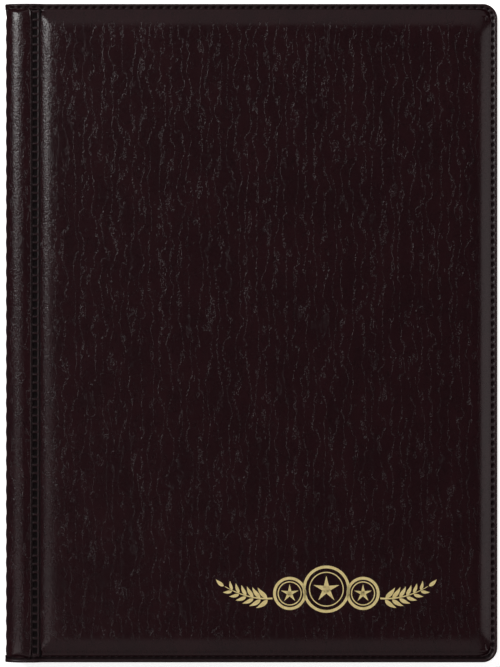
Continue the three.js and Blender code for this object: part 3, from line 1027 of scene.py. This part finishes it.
def dress_cad_nodes():
    """Better materials on the CAD nodes that stay."""
    looks = {"front_board": "board", "back_board": "board", "spine_card": "board", "leaf_binding": "binding"}
    for name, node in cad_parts.items():
        look = "film" if name.startswith("leaf_") and name.endswith("_film") else looks.get(name)
        if look:
            node.data.materials.clear()
            node.data.materials.append(MATERIALS[look])


# Floor, light and camera.


def studio_paper(name, cloud_scale, darkest, lightest, roughness, glow):
    """Pale paper, hardly clouded, that glows a little so that it shows plain white."""
    nodes = Nodes(name)
    cloud = nodes.noise(object_place(nodes), cloud_scale, 2.0)
    return nodes.finish(
        Base_Color=nodes.mix(cloud, (darkest, darkest, darkest, 1), (lightest, lightest, lightest, 1)),
        Roughness=roughness,
        Emission_Color=(1, 1, 1, 1),
        Emission_Strength=glow,
    )


def studio_ring(radius, height):
    """Points all round the studio, at one height."""
    angles = np.linspace(0, math.tau, 97)[:-1]
    x, y = radius * np.cos(angles), radius * np.sin(angles)
    return np.stack([x, y, np.full_like(x, height)], axis=-1)


def make_floor():
    """A round floor, which the album's glossy rim doesn't mirror."""
    rim = studio_ring(FLOOR_RADIUS, -FLOOR_GAP)
    paper = studio_paper("pale_floor", 0.02, 0.84, 0.86, 0.9, 0.75)
    floor = make_mesh("floor", rim, [range(len(rim))], paper, shade_smooth=False)
    floor.visible_glossy = False


def make_backdrop():
    """A pale wall that sweeps up all round the floor, so that low views have no dark horizon."""
    climb = np.linspace(0, math.pi / 2, 9)
    radius = np.append(FLOOR_RADIUS + SWEEP * np.sin(climb), FLOOR_RADIUS + SWEEP)
    height = np.append(SWEEP * (1 - np.cos(climb)), WALL_HEIGHT) - FLOOR_GAP
    rings = np.stack([studio_ring(r, z) for r, z in zip(radius, height)])
    index = np.arange(rings.shape[0] * rings.shape[1]).reshape(rings.shape[:2])
    after = np.roll(index, -1, axis=1)
    faces = np.stack([index[:-1], index[1:], after[1:], after[:-1]], axis=-1).reshape(-1, 4)
    paper = studio_paper("pale_backdrop", 0.001, 0.84, 0.87, 0.95, 0.78)
    wall = make_mesh("backdrop", rings.reshape(-1, 3), faces, paper)
    wall.visible_glossy = False
    wall.visible_diffuse = False


def area_light(name, location, size, power, colour=(1.0, 1.0, 1.0)):
    """A rectangular light that points at the album."""
    lamp = bpy.data.lights.new(name, "AREA")
    lamp.color = colour
    lamp.shape = "RECTANGLE"
    lamp.size, lamp.size_y = size
    lamp.energy = power
    light = bpy.data.objects.new(name, lamp)
    bpy.context.scene.collection.objects.link(light)
    light.location = location
    light.rotation_mode = "QUATERNION"
    light.rotation_quaternion = (-Vector(location)).to_track_quat("-Z", "Y")


def make_lights():
    """A key from the spine's head end, and weak fills that draw the slopes round the panel."""
    scene = bpy.context.scene
    area_light("key_upper_left", (-0.46, 0.27, 0.6), (0.24, 0.3), 3.4)
    area_light("fill_left", (-0.52, -0.3, 0.75), (0.24, 0.7), 0.9, colour=WARM)
    area_light("fill_right", (0.72, 0.0, 0.31), (0.4, 0.9), 1.45, colour=WARM)
    area_light("fill_head", (0.1, 0.62, 0.6), (0.8, 0.75), 0.85, colour=WARM)
    area_light("fill_tail", (0.0, -0.48, 0.57), (0.8, 0.5), 0.5, colour=WARM)
    world = bpy.data.worlds.new("studio")
    world.use_nodes = True
    background = world.node_tree.nodes["Background"]
    background.inputs["Color"].default_value = (1, 1, 1, 1)
    background.inputs["Strength"].default_value = 0.045
    scene.world = world
    scene.view_settings.view_transform = "Standard"
    # A look through all the leaves crosses more clear surfaces than the usual limit of 8.
    scene.cycles.transparent_max_bounces = 64


def make_camera():
    """Straight down on the cover, from far enough away that the edges hardly splay."""
    camera = bpy.data.cameras.new("camera")
    camera.lens = LENS
    camera.sensor_width = SENSOR
    camera.clip_end = 20
    eye = bpy.data.objects.new("camera", camera)
    bpy.context.scene.collection.objects.link(eye)
    eye.location = (CAMERA_X, CAMERA_Y, TOP + 2 * HEAD * PICTURE_MARGIN * LENS / SENSOR)
    bpy.context.scene.camera = eye


make_camera()
for side in ("front", "back"):
    make_skin(side)
    make_ladder_weld(side)
    make_edge_weld(side)
    make_lining(side)
    make_foam(side)
make_spine_bead()
make_ornament()
for leaf in range(1, LEAVES + 1):
    make_leaf_edge(leaf)
    make_leaf_seams(leaf)
dress_cad_nodes()
make_floor()
make_backdrop()
make_lights()
